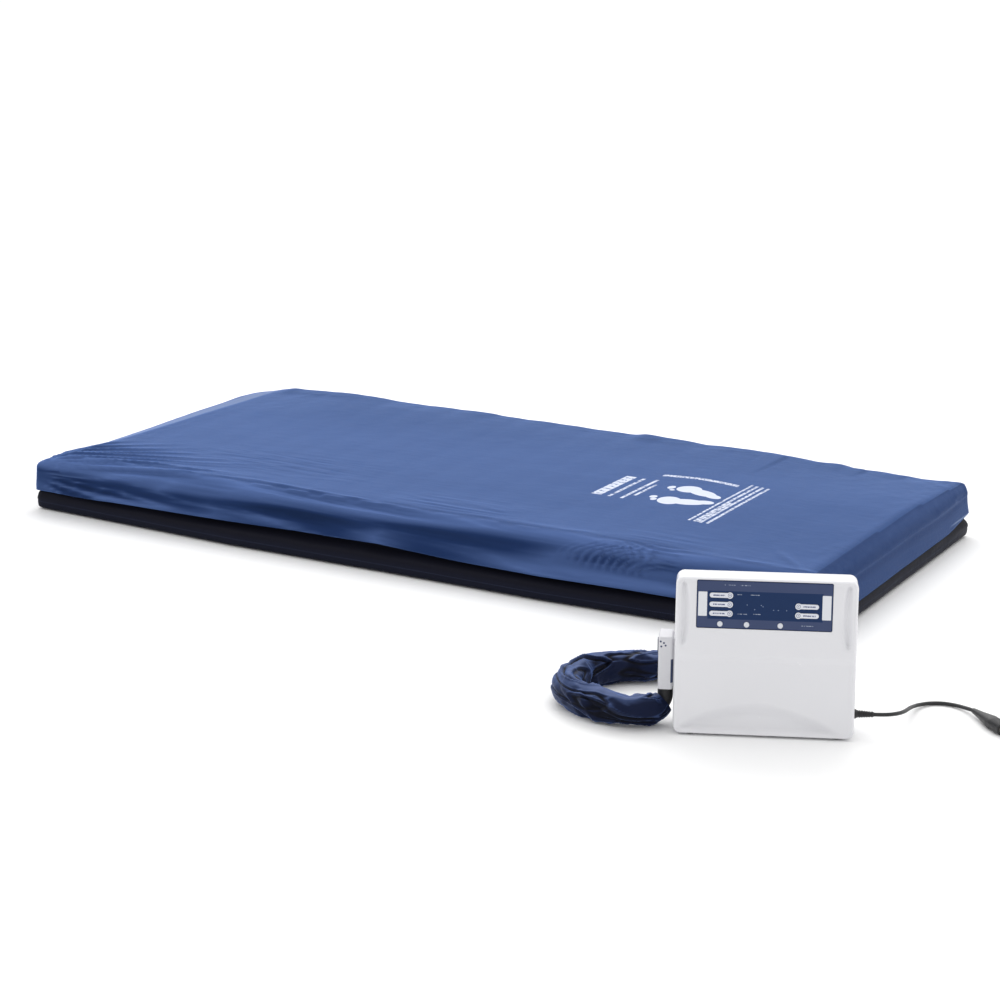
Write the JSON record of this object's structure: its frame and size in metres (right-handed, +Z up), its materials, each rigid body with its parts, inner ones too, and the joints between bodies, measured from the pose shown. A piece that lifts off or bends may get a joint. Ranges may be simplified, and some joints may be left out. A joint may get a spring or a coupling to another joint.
{
  "type": "pressure relief mattress",
  "caption": "Alternating-air pressure relief mattress in a zipped two-part cover, with a hose umbilical to a floor-standing air pump with control panel, bed hooks and mains lead.",
  "frame": {"origin": "middle of the mattress's underside, on the floor", "axes": "+X along the mattress to the foot end, +Y to the long side away from the pump, +Z up"},
  "size_m": [2.4801, 1.5006, 0.2735],
  "materials": {
    "cover_blue": "coated stretch fabric, satin",
    "cover_black": "coated nylon, satin",
    "zip_black": "coil zip",
    "zip_metal": "cast slider",
    "cell_skin": "coated nylon",
    "foam": "open-cell foam",
    "clear_tube": "PVC tube",
    "fitting_black": "moulded",
    "case_white": "gloss",
    "panel_blue": "printed overlay",
    "key_white": "satin",
    "window_white": "translucent white",
    "rubber_black": "matt",
    "hook_grey": "powder coat",
    "steel": "bright",
    "coupler_grey": "satin",
    "button_dark": "satin",
    "sleeve_navy": "nylon sleeve",
    "board_green": "solder mask",
    "valve_plastic": "natural",
    "casting": "die-cast"
  },
  "bodies": {
    "mattress_and_pump": {"air_cell_04": "cell_skin", "air_cell_05": "cell_skin", "air_cell_06": "cell_skin", "air_cell_07": "cell_skin", "air_cell_08": "cell_skin", "air_cell_09": "cell_skin", "air_cell_10": "cell_skin", "air_cell_11": "cell_skin", "air_cell_12": "cell_skin", "air_cell_13": "cell_skin", "air_cell_14": "cell_skin", "air_cell_15": "cell_skin", "air_cell_16": "cell_skin", "air_cell_17": "cell_skin", "air_cell_18": "cell_skin", "air_cell_19": "cell_skin", "air_cell_20": "cell_skin", "air_filter": "foam", "air_line_a": "clear_tube", "air_line_b": "clear_tube", "base_cover": "cover_black", "cell_carrier_sheet": "cell_skin", "circuit_board": "board_green", "compressor_housing": "casting", "control_panel": "panel_blue", "cord_boot": "rubber_black", "distributor_body": "valve_plastic", "foam_base": "foam", "front_shell": "case_white", "hook_pins": "steel", "hose_coupler": "coupler_grey", "hose_cuff": "rubber_black", "hose_entry_fitting": "fitting_black", "internal_tubes": "clear_tube", "mains_cord": "rubber_black", "mains_plug": "rubber_black", "rear_shell": "case_white", "rubber_feet": "rubber_black", "shell_screws": "steel", "static_head_cells": "cell_skin", "status_windows": "window_white", "top_cover": "cover_blue", "umbilical_hose": "sleeve_navy", "zip_tape": "zip_black"},
    "zip_slider": {"zip_slider": "zip_metal"},
    "hook_left": {"hook_left": "hook_grey"},
    "hook_right": {"hook_right": "hook_grey"},
    "filter_cover": {"filter_cover": "case_white"},
    "mains_rocker": {"mains_rocker": "button_dark"},
    "coupler_button": {"coupler_button": "button_dark"},
    "compressor_arm": {"compressor_arm": "casting"},
    "distributor_rotor": {"distributor_rotor": "valve_plastic"},
    "function_key_1": {"function_key_1": "key_white"},
    "function_key_2": {"function_key_2": "key_white"},
    "function_key_3": {"function_key_3": "key_white"},
    "select_key_1": {"select_key_1": "key_white"},
    "select_key_2": {"select_key_2": "key_white"},
    "round_key_1": {"round_key_1": "key_white"},
    "round_key_2": {"round_key_2": "key_white"},
    "round_key_3": {"round_key_3": "key_white"}
  },
  "joints": [
    {"name": "zip_travel", "type": "slide", "parent": "mattress_and_pump", "child": "zip_slider", "axis": [1, 0, 0], "range_m": [0, 1.76]},
    {"name": "hook_left_fold", "type": "hinge", "parent": "mattress_and_pump", "child": "hook_left", "pos_m": [0.96142, -0.90602, 0.191], "axis": [0, 0, 1], "range_deg": [0, 90]},
    {"name": "hook_right_fold", "type": "hinge", "parent": "mattress_and_pump", "child": "hook_right", "pos_m": [1.17154, -0.81248, 0.191], "axis": [0, 0, -1], "range_deg": [0, 90]},
    {"name": "filter_cover_lift", "type": "hinge", "parent": "mattress_and_pump", "child": "filter_cover", "pos_m": [1.06811, -0.86291, 0.112], "axis": [0.9135, 0.4067, 0], "range_deg": [0, 100]},
    {"name": "mains_rocker_tip", "type": "hinge", "parent": "mattress_and_pump", "child": "mains_rocker", "pos_m": [1.2185, -0.82331, 0.072], "axis": [-0.4067, 0.9135, 0], "range_deg": [0, 16]},
    {"name": "coupler_release", "type": "slide", "parent": "mattress_and_pump", "child": "coupler_button", "axis": [0.9135, 0.4067, 0], "range_m": [0, 0.0025], "stiffness_N_per_m": 900},
    {"name": "compressor_swing", "type": "hinge", "parent": "mattress_and_pump", "child": "compressor_arm", "pos_m": [1.0382, -0.93095, 0.036], "axis": [0, 0, 1], "range_deg": [-2, 2], "stiffness_Nm_per_rad": 6},
    {"name": "distributor_turn", "type": "hinge", "parent": "mattress_and_pump", "child": "distributor_rotor", "pos_m": [1.18264, -0.86445, 0.03], "axis": [0, 0, 1], "continuous": true},
    {"name": "function_key_1_press", "type": "slide", "parent": "mattress_and_pump", "child": "function_key_1", "axis": [-0.4017, 0.9023, -0.1564], "range_m": [0, 0.0008], "stiffness_N_per_m": 700},
    {"name": "function_key_2_press", "type": "slide", "parent": "mattress_and_pump", "child": "function_key_2", "axis": [-0.4017, 0.9023, -0.1564], "range_m": [0, 0.0008], "stiffness_N_per_m": 700},
    {"name": "function_key_3_press", "type": "slide", "parent": "mattress_and_pump", "child": "function_key_3", "axis": [-0.4017, 0.9023, -0.1564], "range_m": [0, 0.0008], "stiffness_N_per_m": 700},
    {"name": "select_key_1_press", "type": "slide", "parent": "mattress_and_pump", "child": "select_key_1", "axis": [-0.4017, 0.9023, -0.1564], "range_m": [0, 0.0008], "stiffness_N_per_m": 700},
    {"name": "select_key_2_press", "type": "slide", "parent": "mattress_and_pump", "child": "select_key_2", "axis": [-0.4017, 0.9023, -0.1564], "range_m": [0, 0.0008], "stiffness_N_per_m": 700},
    {"name": "round_key_1_press", "type": "slide", "parent": "mattress_and_pump", "child": "round_key_1", "axis": [-0.4017, 0.9023, -0.1564], "range_m": [0, 0.0008], "stiffness_N_per_m": 700},
    {"name": "round_key_2_press", "type": "slide", "parent": "mattress_and_pump", "child": "round_key_2", "axis": [-0.4017, 0.9023, -0.1564], "range_m": [0, 0.0008], "stiffness_N_per_m": 700},
    {"name": "round_key_3_press", "type": "slide", "parent": "mattress_and_pump", "child": "round_key_3", "axis": [-0.4017, 0.9023, -0.1564], "range_m": [0, 0.0008], "stiffness_N_per_m": 700}
  ]
}
